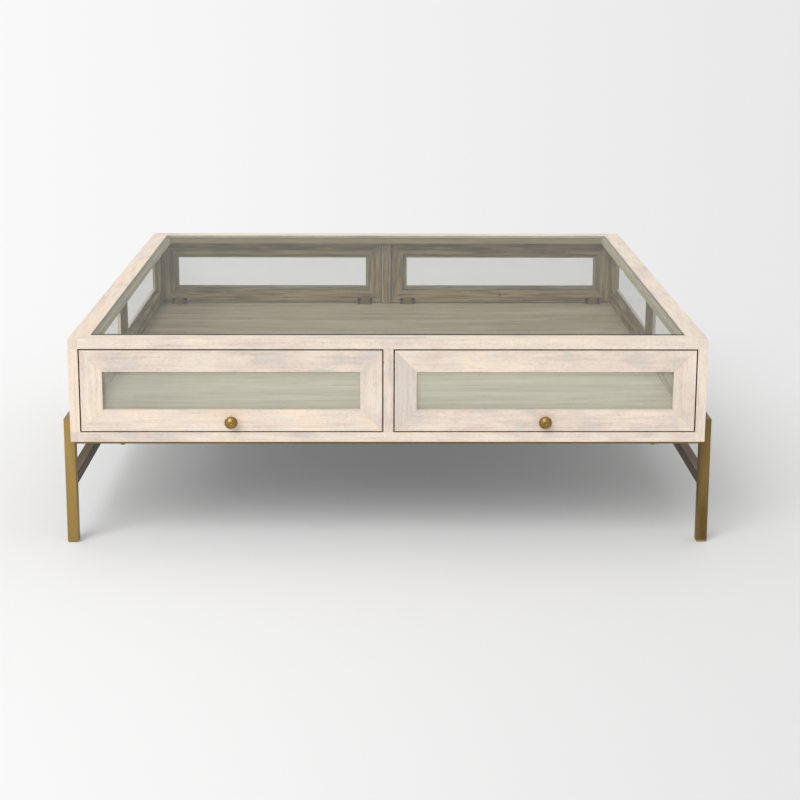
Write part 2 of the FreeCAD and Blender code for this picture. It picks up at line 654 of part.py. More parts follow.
def catch_housing(label):
    """Magnet housing with a low ear on each side. Its magnet face lies on X at Y = 0."""
    body = new_body(label)
    outline = new_sketch(body, "XY_Plane")
    rectangle(outline, "-sizes.catch_width / 2", "0", size("catch_width"), size("catch_depth"))
    pad(body, outline, size("catch_height"))
    ears = new_sketch(body, "XY_Plane")
    rectangle(ears, "-(sizes.catch_width / 2 + sizes.catch_ear)",
              "sizes.catch_depth - sizes.catch_ear_depth", "sizes.catch_width + 2 * sizes.catch_ear",
              size("catch_ear_depth"))
    pad(body, ears, size("catch_ear_thickness"))
    holes = new_sketch(body, "XY_Plane", size("catch_ear_thickness"))
    for side in HANDS.values():
        circle(holes, f"{side} * {EAR_CENTRE}", "sizes.catch_depth - sizes.catch_ear_depth / 2",
               size("catch_screw"))
    cut(body, holes)
    top, depth = value(size("catch_height")), value(size("catch_depth"))

    def back_top_edge(edge):
        return all(v.Z > top - 1e-6 and v.Y > depth - 1e-6 for v in edge.Vertexes)

    soften(body, body.Tip, back_top_edge, size("catch_round"))
    return body


def build_catches():
    housings, screws = [], []
    for end_name, end in ENDS.items():
        for number, centre in enumerate(catch_centres(), start=1):
            housing = catch_housing(f"{end_name}_catch_{number}")
            housings.append(place(housing, centre, CATCH_FACE, CASE_FLOOR, end=end))
            for side in HANDS.values():
                fixing = screw(f"{end_name}_catch_screw_{number}", size("catch_screw_head"),
                               size("catch_screw_rise"), size("catch_screw"),
                               "sizes.catch_ear_thickness + sizes.catch_screw_grip")
                screws.append(place(fixing, f"{centre} + {side} * {EAR_CENTRE}", EAR_SCREW,
                                    f"{CASE_FLOOR} + sizes.catch_ear_thickness", end=end))
    keep_group("magnetic_catches", housings)
    keep_group("catch_screws", screws)


# The metal base.

def square_tube(label, width, height, length):
    """Hollow tube along X, its section's corner on the origin."""
    body = new_body(label)
    section = new_sketch(body, "YZ_Plane")
    rectangle(section, "0", "0", width, height)
    solid = pad(body, section, length)
    soften(body, solid, lambda edge: runs_along(edge, X), size("tube_corner"))
    bore = new_sketch(body, "YZ_Plane")
    rectangle(bore, size("tube_wall"), size("tube_wall"), f"({width} - 2 * sizes.tube_wall)",
              f"({height} - 2 * sizes.tube_wall)")
    cut(body, bore, away=True)
    return body


def mitre(body, length, both_ends):
    """Cut the tube's far end back at 45 degrees towards its lower side, and its near end too."""
    sketch = new_sketch(body, "XZ_Plane")
    tube, run = value(size("tube")), value(length)
    ends = [(run, -1, "far")]
    if both_ends:
        ends.append((0, 1, "near"))
    for tip, way, name in ends:
        first = closed_outline(sketch, [(tip, 0), (tip + way * tube, 0), (tip, tube)])
        sketch.addConstraint(Sketcher.Constraint("Horizontal", first))
        sketch.addConstraint(Sketcher.Constraint("Vertical", first + 2))
        place_tip = length if way < 0 else "0"
        dimension(sketch, "DistanceX", ORIGIN + (first, 1), place_tip, f"{name}_tip")
        dimension(sketch, "DistanceY", ORIGIN + (first, 1), "0", f"{name}_level")
        dimension(sketch, "DistanceX", (first, 1, first, 2), f"{way} * sizes.tube", f"{name}_run")
        dimension(sketch, "DistanceY", (first + 2, 2, first + 2, 1), size("tube"), f"{name}_rise")
    cut(body, sketch)


def build_legs():
    """A leg is a tube stood on end, mitred where it meets the upper side rail."""
    glides = []
    for end_name, end in ENDS.items():
        for side, hand in HANDS.items():
            leg = square_tube(f"leg_{end_name}_{side}", size("tube"), size("tube"), LEG_LENGTH)
            mitre(leg, LEG_LENGTH, both_ends=False)
            outer = hand * end > 0
            x = f"({HALF_WIDTH} + sizes.tube)" if outer else f"-{HALF_WIDTH}"
            keep(place(leg, x, f"sizes.tube - {LEG_FRONT}", size("glide_height"), axes(Z, -X, -Y), end))
            corner = HALF_WIDTH if outer else f"-({HALF_WIDTH} + sizes.tube)"
            glides.append(place(glide(f"glide_{end_name}_{side}"), corner, f"-{LEG_FRONT}", "0", end=end))
    keep_group("foot_glides", glides)


def glide(label):
    """Cap under the leg with a rounded lower edge, and a plug inside the leg."""
    body = board(label, size("tube"), size("tube"), size("glide_height"))
    soften(body, body.Tip, lambda edge: runs_along(edge, Z), size("tube_corner"))
    soften(body, body.Tip, lambda edge: max(v.Z for v in edge.Vertexes) < 1e-6, size("glide_round"))
    plug = new_sketch(body, "XY_Plane", size("glide_height"))
    margin = "(sizes.tube_wall + sizes.glide_slack)"
    rectangle(plug, margin, margin, f"(sizes.tube - 2 * {margin})", f"(sizes.tube - 2 * {margin})")
    pad(body, plug, size("glide_plug"))
    return body


def build_side_rails():
    upper_length = f"(2 * {LEG_FRONT})"
    lower_length = f"(2 * ({LEG_FRONT} - sizes.tube))"
    for side, hand in HANDS.items():
        x = f"-{HALF_WIDTH}" if hand < 0 else f"({HALF_WIDTH} + sizes.tube)"
        upper = square_tube(f"upper_rail_{side}", size("tube"), size("tube"), upper_length)
        mitre(upper, upper_length, both_ends=True)
        keep(place(upper, x, f"-{LEG_FRONT}", f"{LEG_TOP} - sizes.tube", axes(Y, -X, Z)))
        lower = square_tube(f"lower_rail_{side}", size("tube"), size("tube"), lower_length)
        keep(place(lower, x, f"sizes.tube - {LEG_FRONT}", "sizes.lower_rail_top - sizes.tube",
                   axes(Y, -X, Z)))


def build_cross_rails():
    bolts = []
    for name, end in ENDS.items():
        rail = square_tube(f"cross_rail_{name}", size("tube"), size("cross_rail_height"),
                           size("case_width"))
        holes = new_sketch(rail, "XY_Plane")
        for along in (size("bolt_inset"), "(sizes.case_width - sizes.bolt_inset)"):
            circle(holes, along, "sizes.tube / 2", "sizes.bolt_diameter + 2 * sizes.bolt_clearance")
        cut(rail, holes, away=True)
        underside = f"({CASE_UNDERSIDE} - sizes.cross_rail_height)"
        keep(place(rail, f"-{HALF_WIDTH}", f"-{LEG_FRONT}", underside, end=end))
        for hand in HANDS.values():
            bolt = screw(f"{name}_base_bolt", size("bolt_head"), size("bolt_head_rise"),
                         size("bolt_diameter"), "sizes.cross_rail_height + sizes.bolt_grip")
            bolts.append(place(bolt, f"{hand} * {BOLT_ACROSS}", f"-{CROSS_CENTRE}", underside,
                               axes(X, -Y, -Z), end))
    keep_group("base_bolts", bolts)


build_top_frame()
build_top_glass()
build_floor_board()
for side_name, side_hand in HANDS.items():
    build_side_frame(side_name, side_hand)
for post_name, post_end in ENDS.items():
    build_centre_post(post_name, post_end)
build_catches()
build_pivot_pins()
build_legs()
build_side_rails()
build_cross_rails()
for end_name, door_end in ENDS.items():
    for side_name, side_hand in HANDS.items():
        build_door(f"{end_name}_{side_name}_door", door_end, side_hand)

doc.recompute()
for item in doc.Objects:
    if "Invalid" in item.State or "Error" in item.State:
        raise RuntimeError(f"{item.Label} failed: {item.State}")
for node in nodes:
    if node.Shape.isNull() or not node.Shape.isValid():
        raise RuntimeError(f"{node.Label} has no valid shape")

os.makedirs("parts", exist_ok=True)
for node in nodes:
    node.Shape.exportStep(f"parts/{node.Label}.step")
print(f"{len(nodes)} nodes written")
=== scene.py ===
"""Finish of the square display coffee table: washed wood, clear glass and aged brass, in a pale studio."""

import math

import bmesh
import bpy
from bpy.props import FloatProperty, FloatVectorProperty, IntProperty, PointerProperty
from mathutils import Matrix, Vector


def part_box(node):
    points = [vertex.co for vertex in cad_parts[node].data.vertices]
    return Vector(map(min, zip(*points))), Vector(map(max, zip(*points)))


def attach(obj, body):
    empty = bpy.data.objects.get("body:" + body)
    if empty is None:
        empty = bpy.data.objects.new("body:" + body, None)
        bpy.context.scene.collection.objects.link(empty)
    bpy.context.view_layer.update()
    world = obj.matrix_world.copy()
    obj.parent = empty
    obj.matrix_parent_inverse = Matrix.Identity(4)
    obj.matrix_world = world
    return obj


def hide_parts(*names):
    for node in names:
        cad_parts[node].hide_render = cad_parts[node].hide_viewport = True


bl_info = {
    "name": "Display coffee table",
    "version": (1, 0, 0),
    "blender": (4, 5, 0),
    "location": "3D View > Sidebar > Coffee table",
    "description": "Dresses the square display coffee table in washed wood, glass and aged brass",
    "category": "Object",
}

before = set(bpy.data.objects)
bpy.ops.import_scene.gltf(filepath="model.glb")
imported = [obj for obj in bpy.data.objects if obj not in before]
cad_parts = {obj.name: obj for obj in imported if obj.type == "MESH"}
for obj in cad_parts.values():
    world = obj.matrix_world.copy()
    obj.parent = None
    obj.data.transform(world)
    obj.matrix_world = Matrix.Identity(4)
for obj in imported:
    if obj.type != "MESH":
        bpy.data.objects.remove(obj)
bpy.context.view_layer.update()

DOORS = ("front_left_door", "front_right_door", "back_left_door", "back_right_door")
# The case from its middle to its outer faces, and the thickness of its walls.
CASE_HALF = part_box("floor_board")[1]
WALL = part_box("left_side_stiles")[1].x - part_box("left_side_stiles")[0].x

# The camera: where it stands, how far it turns right, looks down and leans, in degrees, its lens and
# sensor in millimetres, and the shift of its picture.
STAND = Vector((-0.0153, -3.4553, 1.0771))
YAW = 0.709
PITCH = 11.16
ROLL = 0.2
LENS = 73.5
SENSOR = 36
SHIFT = -0.15

# Points closer than this are one point.
SAME_POINT = 0.00001


def shade(red, green, blue):
    """A colour as it shows on the surface, 0 to 255, turned into the linear numbers of a material."""
    return tuple(((level / 255 + 0.055) / 1.055) ** 2.4 for level in (red, green, blue))


def colour(name, description, default):
    """A colour that can be picked in the sidebar."""
    return FloatVectorProperty(
        name=name, description=description, subtype="COLOR", size=3, min=0, max=1, default=default
    )


# Sizes and colours


class WashedWood(bpy.types.PropertyGroup):
    """The pale washed wood of the case and the doors."""

    cream: colour("Cream", "Warm patches where the wash is thin", shade(236, 220, 201))
    light: colour("Light", "Wood under an even wash", shade(228, 216, 203))
    pink: colour("Pink", "Rosy patches of the wood", shade(224, 209, 197))
    grey: colour("Grey", "Patches where the wash lies thick", shade(212, 202, 194))
    vein: colour("Vein", "Tint of the grain lines", shade(229, 218, 206))
    pore: colour("Pore", "Tint of the open pores", shade(216, 204, 192))
    bare_vein: colour("Bare vein", "Tint of the grain lines where there is no wash", shade(196, 182, 160))
    bare_pore: colour("Bare pore", "Tint of the open pores where there is no wash", shade(172, 158, 138))
    inside_light: colour("Inside light", "Unwashed wood inside the case", shade(180, 162, 123))
    inside_dark: colour("Inside dark", "Darker streaks of the unwashed wood", shade(131, 112, 78))
    thin_wash: colour("Thin wash", "Inner faces of the top frame at the sides", shade(228, 222, 200))
    # The back wash is the thin wash made darker: painted shade on the inner face at the back.
    shaded_back_wash: colour("Shaded back wash", "Inner face of the top frame at the back", shade(172, 160, 130))
    floor_light: colour("Floor light", "Case floor under a thin wash", shade(210, 200, 174))
    floor_dark: colour("Floor dark", "Darker streaks of the case floor", shade(190, 176, 148))
    # The raw edge colour is brown wood darkened as painted shade down in the gaps.
    shaded_gap_edge: colour("Shaded gap edge", "Edges of the doors and posts, down in the gaps", shade(168, 148, 126))
    underside: colour("Underside", "Sealed underside of the case", shade(168, 169, 171))
    grain_width: FloatProperty(
        name="Grain width", description="Width of a grain line", unit="LENGTH", default=0.005, min=0.0005
    )
    patch_length: FloatProperty(
        name="Patch length", description="Length of a patch along the grain",
        unit="LENGTH", default=0.1, min=0.01,
    )
    eased_edge: FloatProperty(
        name="Eased edge", description="Rounding of the sanded edges", unit="LENGTH", default=0.0003, min=0
    )


class ClearGlass(bpy.types.PropertyGroup):
    """The glass of the top, the doors and the sides."""

    body: colour("Body", "Tint of the top glass", (0.03, 0.05, 0.035))
    # The haze is a pale colour on the panes: a painted sheen for the light that their faces reflect.
    pane_sheen: colour("Pane sheen", "Light that a pane throws back", (0.90, 0.95, 0.86))
    # The edge colour is painted shade: the dark look of the polished edge through the glass, laid on three
    # sides of the top.
    edge: colour("Edge", "Polished edge of the top", (0.007, 0.018, 0.012))
    edge_shade_band: FloatProperty(
        name="Edge band", description="Width of the dark line round the top",
        unit="LENGTH", default=0.002, min=0.001,
    )
    top_density: FloatProperty(
        name="Top density", description="How much of the light one face of the top holds back",
        subtype="FACTOR", default=0.18, min=0, max=1,
    )
    pane_density: FloatProperty(
        name="Pane density", description="How much of the light one face of a pane holds back",
        subtype="FACTOR", default=0.15, min=0, max=1,
    )


class AgedBrass(bpy.types.PropertyGroup):
    """The aged brass of the base and the knobs."""

    bright: colour("Bright", "Rubbed places", (0.62, 0.45, 0.18))
    mid: colour("Middle", "Aged finish", (0.43, 0.29, 0.095))
    dark: colour("Dark", "Places where the patina is thick", (0.105, 0.064, 0.025))
    turned_steps: IntProperty(
        name="Turned steps", description="Steps round a turned piece", default=48, min=12, max=96
    )


class StudioLight(bpy.types.PropertyGroup):
    """The light and the ground that the table stands on."""

    horizon: FloatProperty(
        name="Horizon", description="Light that comes in level from all round", default=0.85, min=0
    )
    overhead: FloatProperty(
        name="Overhead", description="Light that comes from straight above", default=0.66, min=0
    )
    key: FloatProperty(
        name="Key", description="Strength of the soft light from the front", default=1.75, min=0
    )
    key_height: FloatProperty(
        name="Key height", description="Height of the soft light above the horizon",
        unit="ROTATION", default=math.radians(42), min=0,
    )
    key_side: FloatProperty(
        name="Key side", description="How far the soft light stands to the left",
        unit="ROTATION", default=math.radians(30),
    )
    key_spread: FloatProperty(
        name="Key spread", description="Angle that the soft light fills",
        unit="ROTATION", default=math.radians(40), min=0,
    )
    ground: colour("Ground", "Matt pale ground", (0.733, 0.733, 0.733))
    glow: FloatProperty(
        name="Glow", description="Light that the ground adds of its own where it is seen", default=0.08, min=0
    )
    # The fades paint the fall-off of the light from left to right into the ground and the backdrop.
    ground_fade: FloatProperty(
        name="Ground fade", description="How much darker the ground is on the right than on the left",
        subtype="FACTOR", default=0.194, min=0, max=1,
    )
    backdrop_fade: FloatProperty(
        name="Backdrop fade", description="How much darker the backdrop is on the right than on the left",
        subtype="FACTOR", default=0.178, min=0, max=1,
    )
    fan_start: FloatProperty(
        name="Fan start", description="How far in front of the stand the fall-off starts to fan out",
        unit="LENGTH", default=1.5, min=0.1,
    )
    fan_width: FloatProperty(
        name="Fan width", description="Width of the fall-off for each width of the picture",
        default=1.5, min=0.5,
    )
    backdrop: colour("Backdrop", "Pale backdrop all round", shade(241, 241, 241))


# Nodes of a material


def node(tree, kind, inputs, **settings):
    """One node, with its sockets set to a number or colour or joined to another node."""
    made = tree.nodes.new(kind)
    for key, setting in settings.items():
        setattr(made, key, setting)
    for key, entry in inputs.items():
        if isinstance(entry, bpy.types.NodeSocket):
            tree.links.new(entry, made.inputs[key])
        else:
            made.inputs[key].default_value = entry
    return made


def blank(name):
    """A material with only its output and a surface shader."""
    material = bpy.data.materials.new(name)
    material.use_nodes = True
    tree = material.node_tree
    tree.nodes.clear()
    surface = tree.nodes.new("ShaderNodeBsdfPrincipled")
    node(tree, "ShaderNodeOutputMaterial", {"Surface": surface.outputs["BSDF"]})
    return material, tree, surface


def ramp(tree, factor, stops, interpolation="EASE"):
    """A row of colours, each with its place from 0 to 1."""
    made = node(tree, "ShaderNodeValToRGB", {"Fac": factor})
    row = made.color_ramp
    row.interpolation = interpolation
    while len(row.elements) < len(stops):
        row.elements.new(0.5)
    for element, (place, tint) in zip(row.elements, stops):
        element.position = place
        element.color = (*tint, 1)
    return made.outputs["Color"]


def stretched(tree, along, length, width, seed, detail, roughness):
    """Uneven spots, longer along the grain than across it."""
    place = node(tree, "ShaderNodeTexCoord", {}).outputs["Object"]
    scale = [1 / length if axis == along else 1 / width for axis in "XYZ"]
    shift = (7.3 * seed + 1.1, 3.9 * seed + 4.7, 5.1 * seed + 2.3)
    lay = node(tree, "ShaderNodeMapping", {"Vector": place, "Location": shift, "Scale": scale})
    spots = node(
        tree, "ShaderNodeTexNoise",
        {"Vector": lay.outputs["Vector"], "Scale": 1.0, "Detail": detail, "Roughness": roughness},
    )
    return spots.outputs["Fac"]


def span(tree, value, low, high, start=0.3, end=0.7):
    """Spots from start to end, spread from low to high."""
    return node(
        tree, "ShaderNodeMapRange",
        {"Value": value, "From Min": start, "From Max": end, "To Min": low, "To Max": high},
    ).outputs["Result"]


def multiplied(tree, strength, first, second):
    """The first colour darkened by the second, as much as strength says."""
    return node(
        tree, "ShaderNodeMix", {0: strength, 6: first, 7: second}, data_type="RGBA", blend_type="MULTIPLY"
    ).outputs[2]


def wood_surface(name, along, seed, patches, stops, bare=False):
    """Wood with its grain along one axis: tones in patches, then grain lines and open pores over them."""
    wood = bpy.context.scene.washed_wood
    vein, pore = (wood.bare_vein, wood.bare_pore) if bare else (wood.vein, wood.pore)
    material, tree, surface = blank(name)
    spots = stretched(tree, along, *patches, seed, detail=4, roughness=0.6)
    tones = ramp(tree, spots, stops)
    line = wood.grain_width
    grain = stretched(tree, along, 16 * line, line, seed + 11, detail=4, roughness=0.55)
    lines = span(tree, grain, low=0, high=0.6, start=0.42, end=0.75)
    veined = multiplied(tree, lines, tones, (*vein, 1))
    pores = stretched(tree, along, 1.2 * line, line / 4, seed + 23, detail=2, roughness=0.5)
    flecks = span(tree, pores, low=0, high=0.45, start=0.5, end=0.74)
    flecked = multiplied(tree, flecks, veined, (*pore, 1))
    tree.links.new(flecked, surface.inputs["Base Color"])
    tree.links.new(span(tree, grain, low=0.58, high=0.74), surface.inputs["Roughness"])
    relief = node(tree, "ShaderNodeBump", {"Strength": 0.2, "Distance": 0.0003, "Height": grain})
    tree.links.new(relief.outputs["Normal"], surface.inputs["Normal"])
    surface.inputs["Specular IOR Level"].default_value = 0.3
    return material


def washed_wood(name, along, seed, warmth):
    """Washed wood. Warmth is 0 for the usual mixture, less for greyer and more for creamier wood."""
    wood = bpy.context.scene.washed_wood
    shift = 0.1 * warmth
    stops = [
        (0.36 - shift, wood.grey),
        (0.46 - shift, wood.pink),
        (0.54 - shift, wood.light),
        (0.68 - shift, wood.cream),
    ]
    return wood_surface(name, along, seed, (wood.patch_length, wood.patch_length / 2), stops)


def inside_wood(along):
    """The darker, unwashed wood of the faces that look into the case, one material for each grain."""
    name = f"unwashed wood along {along}"
    if name not in bpy.data.materials:
        wood = bpy.context.scene.washed_wood
        stops = [(0.37, wood.inside_dark), (0.63, wood.inside_light)]
        wood_surface(name, along, 61, (0.12, 0.01), stops, bare=True)
    return bpy.data.materials[name]


def shaded_gap_edge(along):
    """The bare brown edges of the doors and posts, darkened as painted shade down in the gaps, one material
    for each grain direction.
    """
    name = f"shaded gap edge along {along}"
    if name not in bpy.data.materials:
        brown = bpy.context.scene.washed_wood.shaded_gap_edge
        darker = tuple(0.85 * level for level in brown)
        wood_surface(name, along, 64, (0.1, 0.01), [(0.35, darker), (0.65, brown)])
    return bpy.data.materials[name]


def floor_wood(name):
    """The thinly washed top of the floor board."""
    wood = bpy.context.scene.washed_wood
    stops = [(0.35, wood.floor_dark), (0.65, wood.floor_light)]
    return wood_surface(name, "X", 62, (0.45, 0.035), stops, bare=True)


def thinly_washed_wood(name, along, pale):
    """The inner faces of the top frame, which show pale through the glass."""
    darker = tuple(0.88 * level for level in pale)
    return wood_surface(name, along, 65, (0.12, 0.01), [(0.35, darker), (0.65, pale)])


def sealed_wood(name):
    """The sealed grey underside of the case."""
    wood = bpy.context.scene.washed_wood
    darker = tuple(0.8 * level for level in wood.underside)
    return wood_surface(name, "X", 63, (0.2, 0.03), [(0.35, darker), (0.65, wood.underside)])


def aged_brass(name, along, seed, wear_and_shade, patches=(0.4, 0.05)):
    """Brass with a patina in patches, brushed along one axis. Wear goes from 0, dark, to 1, rubbed bright; on
    some tubes it also holds painted shade.
    """
    brass = bpy.context.scene.aged_brass
    material, tree, surface = blank(name)
    patina = stretched(tree, along, *patches, seed, detail=4, roughness=0.55)
    low = 0.6 - wear_and_shade
    tones = ramp(tree, patina, [
        (max(low, 0), brass.dark), (low + 0.6, brass.mid), (min(low + 1.2, 1), brass.bright),
    ], "LINEAR")
    brushing = stretched(tree, along, 0.02, 0.0006, seed + 5, detail=3, roughness=0.6)
    streaks = span(tree, brushing, low=0, high=0.35, start=0.4, end=0.7)
    streaked = multiplied(tree, streaks, tones, (0.72, 0.66, 0.55, 1))
    tree.links.new(streaked, surface.inputs["Base Color"])
    tree.links.new(span(tree, patina, low=0.5, high=0.36), surface.inputs["Roughness"])
    relief = node(tree, "ShaderNodeBump", {"Strength": 0.12, "Distance": 0.0002, "Height": brushing})
    tree.links.new(relief.outputs["Normal"], surface.inputs["Normal"])
    surface.inputs["Metallic"].default_value = 1.0
    return material


def clear_glass(name, tint, density):
    """Clear glass that holds back a little of the light at each face."""
    material, _, surface = blank(name)
    surface.inputs["Base Color"].default_value = (*tint, 1)
    surface.inputs["Roughness"].default_value = 0.02
    surface.inputs["IOR"].default_value = 1.5
    surface.inputs["Alpha"].default_value = density
    return material


def shaded_glass_edge(name):
    """The dark green edge of a thick sheet of glass, made darker as painted shade: the look of the edge
    through the glass.
    """
    glass = bpy.context.scene.clear_glass
    material, tree, surface = blank(name)
    bands = stretched(tree, "X", 0.05, 0.002, seed=3, detail=2, roughness=0.5)
    tint = ramp(tree, bands, [(0.3, glass.edge), (0.7, tuple(3 * level for level in glass.edge))])
    tree.links.new(tint, surface.inputs["Base Color"])
    surface.inputs["Roughness"].default_value = 0.12
    return material


def plain_steel(name, tint, seed):
    """Plain steel with a fine uneven sheen."""
    material, tree, surface = blank(name)
    spots = stretched(tree, "Z", 0.004, 0.003, seed, detail=3, roughness=0.6)
    darker = tuple(0.6 * level for level in tint)
    tree.links.new(ramp(tree, spots, [(0.35, darker), (0.65, tint)]), surface.inputs["Base Color"])
    tree.links.new(span(tree, spots, low=0.28, high=0.42), surface.inputs["Roughness"])
    surface.inputs["Metallic"].default_value = 1.0
    return material


def moulded_plastic(name, tint, seed):
    """Matt plastic with a fine moulded texture."""
    material, tree, surface = blank(name)
    spots = stretched(tree, "Z", 0.0016, 0.0016, seed, detail=3, roughness=0.6)
    darker = tuple(0.8 * level for level in tint)
    tree.links.new(ramp(tree, spots, [(0.35, darker), (0.65, tint)]), surface.inputs["Base Color"])
    tree.links.new(span(tree, spots, low=0.5, high=0.65), surface.inputs["Roughness"])
    relief = node(tree, "ShaderNodeBump", {"Strength": 0.2, "Distance": 0.0001, "Height": spots})
    tree.links.new(relief.outputs["Normal"], surface.inputs["Normal"])
    surface.inputs["Specular IOR Level"].default_value = 0.2
    return material


# Shapes


def merged_copy(name):
    """A copy of a CAD node's mesh, each face whole again."""
    mesh = bmesh.new()
    mesh.from_mesh(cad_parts[name].data)
    bmesh.ops.remove_doubles(mesh, verts=mesh.verts, dist=SAME_POINT)
    bmesh.ops.dissolve_limit(
        mesh, angle_limit=math.radians(1), use_dissolve_boundaries=False, verts=mesh.verts, edges=mesh.edges
    )
    return mesh


def sort_faces(mesh, core=None):
    """Slot 0 for outer faces, 1 for those that look into the case, 2 for lippings, 3 for the underside.

    Faces that look sideways and away from the core are the bare ones down in a gap, and get slot 2 too, whose
    brown is painted shade.
    """
    slack = 0.0005
    # How far above the glass's lower face a face still counts as inside, and how far in from the outer faces
    # an inward one has to be.
    above_ledge = 0.002
    rebate_start = 0.004
    top_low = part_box("top_frame_front")[0].z
    floor_low, floor_high = (corner.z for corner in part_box("floor_board"))
    glass_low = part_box("top_glass")[0].z
    for face in mesh.faces:
        middle = face.calc_center_median()
        level = Vector((middle.x, middle.y, 0))
        edge = max(abs(middle.x) - CASE_HALF.x, abs(middle.y) - CASE_HALF.y)
        inward = -face.normal.dot(level.normalized()) if level.length > 0 else 0
        deep = edge < -WALL / 2 - slack
        in_gap = core is not None and abs(face.normal.y) < 0.3 and face.normal.dot(middle - core) > 0
        if middle.z < floor_low + slack and face.normal.z < -0.9:
            face.material_index = 3
        elif in_gap:
            face.material_index = 2
        elif deep and floor_high - slack < middle.z < glass_low + above_ledge:
            face.material_index = 1
        elif inward > 0.5 and edge < -rebate_start and floor_high < middle.z < top_low:
            face.material_index = 1
        elif face.material_index != 2:
            face.material_index = 0


def middle_of(name):
    """The middle of a CAD node's box."""
    low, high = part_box(name)
    return (low + high) / 2


def cut_lippings(mesh):
    """Marks the ends of the front and back edges, where the lippings of the sides show."""
    lip_start = CASE_HALF.x - WALL
    outermost = CASE_HALF.y - 0.001
    for side in (-1, 1):
        place = Vector((side * lip_start, 0, 0))
        everything = [*mesh.verts, *mesh.edges, *mesh.faces]
        bmesh.ops.bisect_plane(mesh, geom=everything, dist=SAME_POINT, plane_co=place, plane_no=(1, 0, 0))
    for face in mesh.faces:
        middle = face.calc_center_median()
        if abs(face.normal.y) > 0.9 and abs(middle.x) > lip_start and abs(middle.y) > outermost:
            face.material_index = 2


def finished(mesh, name, body, nodes, materials, smooth=False):
    """Turns a worked mesh into a piece of the table that rides on a body and stands for its CAD nodes."""
    data = bpy.data.meshes.new(name)
    mesh.to_mesh(data)
    mesh.free()
    for material in materials:
        data.materials.append(material)
    if smooth:
        data.shade_smooth()
        data.set_sharp_from_angle(angle=math.radians(35))
    piece = bpy.data.objects.new(name, data)
    bpy.context.scene.collection.objects.link(piece)
    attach(piece, body)
    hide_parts(*nodes)
    return piece


def ease(piece, width, segments=2):
    """Rounds the sharp edges of a piece."""
    bevel = piece.modifiers.new("eased edges", "BEVEL")
    bevel.width = width
    bevel.segments = segments
    bevel.limit_method = "ANGLE"
    bevel.angle_limit = math.radians(35)


def repaint(name, material):
    """A better material on a CAD node that keeps its shape."""
    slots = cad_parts[name].material_slots
    for slot in slots:
        slot.link = "OBJECT"
        slot.material = material


def turned(mesh, profile, place, reach, steps):
    """Spins a profile of radius and height round the line from place along reach."""
    across = reach.orthogonal().normalized()
    points = [mesh.verts.new(place + across * radius + reach * height) for radius, height in profile]
    edges = [mesh.edges.new(pair) for pair in zip(points, points[1:])]
    bmesh.ops.spin(
        mesh, geom=points + edges, cent=place, axis=reach, angle=2 * math.pi, steps=steps, use_merge=True
    )


def press_crosses(mesh, out, largest):
    """Presses a cross recess into each small flat that looks along out: the tops of the screw heads."""
    axes = (Vector((1, 0, 0)), Vector((0, 1, 0)), Vector((0, 0, 1)))
    sides = [axis for axis in axes if abs(axis.dot(out)) < 0.5]
    tops = [face for face in mesh.faces if face.normal.dot(out) > 0.99 and face.calc_area() < largest]
    for top in tops:
        middle = top.calc_center_median()
        radius = math.sqrt(top.calc_area() / math.pi)
        arm, slot = 0.8 * radius, 0.18 * radius
        parts = [top, *top.edges, *top.verts]
        for side in sides:
            for shift in (-arm, -slot, slot, arm):
                parts = bmesh.ops.bisect_plane(
                    mesh, geom=parts, dist=0.000001, plane_co=middle + side * shift, plane_no=side
                )["geom"]
        cross = []
        for face in (part for part in parts if isinstance(part, bmesh.types.BMFace)):
            short, long = sorted(abs((face.calc_center_median() - middle).dot(side)) for side in sides)
            if short < slot and long < arm:
                cross.append(face)
        bmesh.ops.inset_region(
            mesh, faces=cross, thickness=0.1 * slot, depth=-0.4 * radius, use_boundary=True
        )


# The pieces


class WoodenCase(bpy.types.Operator):
    """Dresses the top frame, the floor board, the side frames and the centre posts"""

    bl_idname = "table.wooden_case"
    bl_label = "Wooden case"

    # Grain direction, pattern number and warmth of each board.
    boards = {
        "top_frame_front": ("X", 1, 0.3),
        "top_frame_back": ("X", 2, 0.2),
        "top_frame_left": ("Y", 3, 1.2),
        "top_frame_right": ("Y", 4, 0.0),
        "floor_board": ("X", 5, 0.0),
        "left_side_stiles": ("Z", 6, 4.0),
        "left_side_bottom_rail": ("Y", 7, 0.2),
        "left_side_top_rail": ("Y", 8, 0.0),
        "right_side_stiles": ("Z", 9, 0.2),
        "right_side_bottom_rail": ("Y", 10, 0.0),
        "right_side_top_rail": ("Y", 11, 0.2),
        "front_centre_post": ("Z", 12, -0.8),
        "back_centre_post": ("Z", 13, 0.0),
    }
    # Warmth of the lippings at the ends of the boards that run across the front and the back.
    lippings = {"floor_board": -0.6, "top_frame_front": 0.2, "top_frame_back": 0.2}
    # Members of the top frame with a wash on the inner face too, and its colour; the back one is darker, a
    # painted shade.
    pale_inside = {
        "top_frame_left": "thin_wash",
        "top_frame_right": "thin_wash",
        "top_frame_back": "shaded_back_wash",
    }

    def execute(self, context):
        for name, (along, seed, warmth) in self.boards.items():
            label = name.replace("_", " ")
            materials = [washed_wood(f"washed {label}", along, seed, warmth), inside_wood(along)]
            mesh = merged_copy(name)
            core = None
            if name in self.lippings:
                cut_lippings(mesh)
                materials.append(washed_wood(f"lipping {label}", "Z", seed + 30, self.lippings[name]))
            elif name.endswith("post"):
                core = middle_of(name)
                materials.append(shaded_gap_edge(along))
            if name in self.pale_inside:
                pale = getattr(context.scene.washed_wood, self.pale_inside[name])
                materials[1] = thinly_washed_wood(f"thin wash {label}", along, pale)
            if name == "floor_board":
                materials[1] = floor_wood("case floor")
                materials.append(sealed_wood("case underside"))
            sort_faces(mesh, core)
            piece = finished(mesh, f"eased_{name}", "table", [name], materials)
            ease(piece, context.scene.washed_wood.eased_edge)
        return {"FINISHED"}


